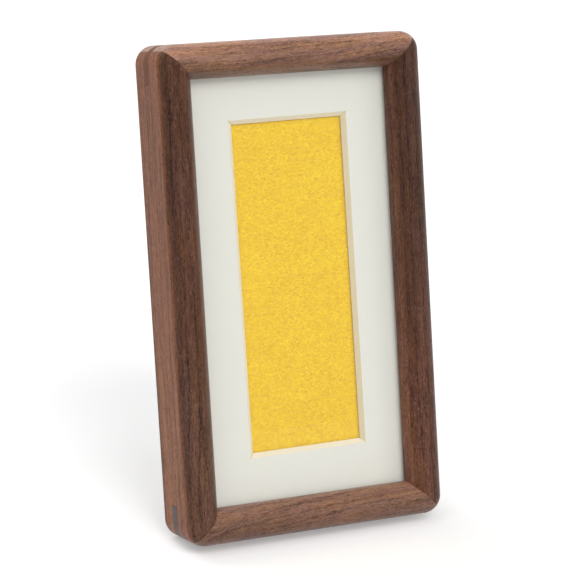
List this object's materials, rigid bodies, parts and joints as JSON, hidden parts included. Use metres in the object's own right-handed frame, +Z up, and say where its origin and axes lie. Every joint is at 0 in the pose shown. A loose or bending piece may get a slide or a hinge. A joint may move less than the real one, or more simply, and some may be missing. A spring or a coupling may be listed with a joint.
{
  "type": "picture frame",
  "caption": "Small portrait picture frame of rounded moulding with splined mitred corners, a bevel-cut window mat over a felt insert behind glazing, and a hinged easel strut.",
  "frame": {"origin": "middle of the footprint box, on the floor the frame stands on", "axes": "+X to the right of someone facing the picture, -Y the way the picture faces, +Z up; the frame leans back 10 degrees towards +Y"},
  "size_m": [0.0966, 0.0704, 0.172],
  "materials": {
    "rail_wood": "waxed walnut, warmer and lighter than the stiles",
    "stile_wood": "waxed walnut, satin",
    "spline_wood": "dark hardwood, sanded flush",
    "strut_wood": "waxed walnut, satin",
    "panel_wood": "brown hardboard, matt",
    "glazing": "clear, polished",
    "mat_card": "off-white matt board",
    "felt": "yellow felt, fibrous",
    "mount_card": "grey-brown board, matt",
    "foam_filler": "white paper-faced foam board",
    "brass": "satin brass"
  },
  "bodies": {
    "frame": {"rail_top": "rail_wood", "rail_bottom": "rail_wood", "stile_left": "stile_wood", "stile_right": "stile_wood", "spline_top_left": "spline_wood", "spline_top_right": "spline_wood", "spline_bottom_left": "spline_wood", "spline_bottom_right": "spline_wood", "glazing_sheet": "glazing", "mat_board": "mat_card", "felt_insert": "felt", "mount_board": "mount_card", "foam_board": "foam_filler", "back_panel": "panel_wood", "button_screw_left_upper": "brass", "button_screw_left_lower": "brass", "button_screw_right_upper": "brass", "button_screw_right_lower": "brass", "button_screw_top": "brass", "hinge_leaf_panel": "brass", "hinge_pin": "brass", "leaf_screw_panel_left": "brass", "leaf_screw_panel_right": "brass"},
    "strut": {"easel_strut": "strut_wood", "hinge_leaf_strut": "brass", "leaf_screw_strut_left": "brass", "leaf_screw_strut_right": "brass"},
    "button_left_upper": {"turn_button_left_upper": "brass"},
    "button_left_lower": {"turn_button_left_lower": "brass"},
    "button_right_upper": {"turn_button_right_upper": "brass"},
    "button_right_lower": {"turn_button_right_lower": "brass"},
    "button_top": {"turn_button_top": "brass"}
  },
  "joints": [
    {"name": "strut_hinge", "type": "hinge", "parent": "frame", "child": "strut", "pos_m": [0, 0.01404, 0.11959], "axis": [1, 0, 0], "range_deg": [-18, 0]},
    {"name": "button_left_upper_turn", "type": "hinge", "parent": "frame", "child": "button_left_upper", "pos_m": [-0.0442, 0.01451, 0.12915], "axis": [0, 0.9848, -0.1736], "continuous": true},
    {"name": "button_left_lower_turn", "type": "hinge", "parent": "frame", "child": "button_left_lower", "pos_m": [-0.0442, -0.00146, 0.03855], "axis": [0, 0.9848, -0.1736], "continuous": true},
    {"name": "button_right_upper_turn", "type": "hinge", "parent": "frame", "child": "button_right_upper", "pos_m": [0.0442, 0.01451, 0.12915], "axis": [0, 0.9848, -0.1736], "continuous": true},
    {"name": "button_right_lower_turn", "type": "hinge", "parent": "frame", "child": "button_right_lower", "pos_m": [0.0442, -0.00146, 0.03855], "axis": [0, 0.9848, -0.1736], "continuous": true},
    {"name": "button_top_turn", "type": "hinge", "parent": "frame", "child": "button_top", "pos_m": [0, 0.02066, 0.16402], "axis": [0, 0.9848, -0.1736], "continuous": true}
  ]
}
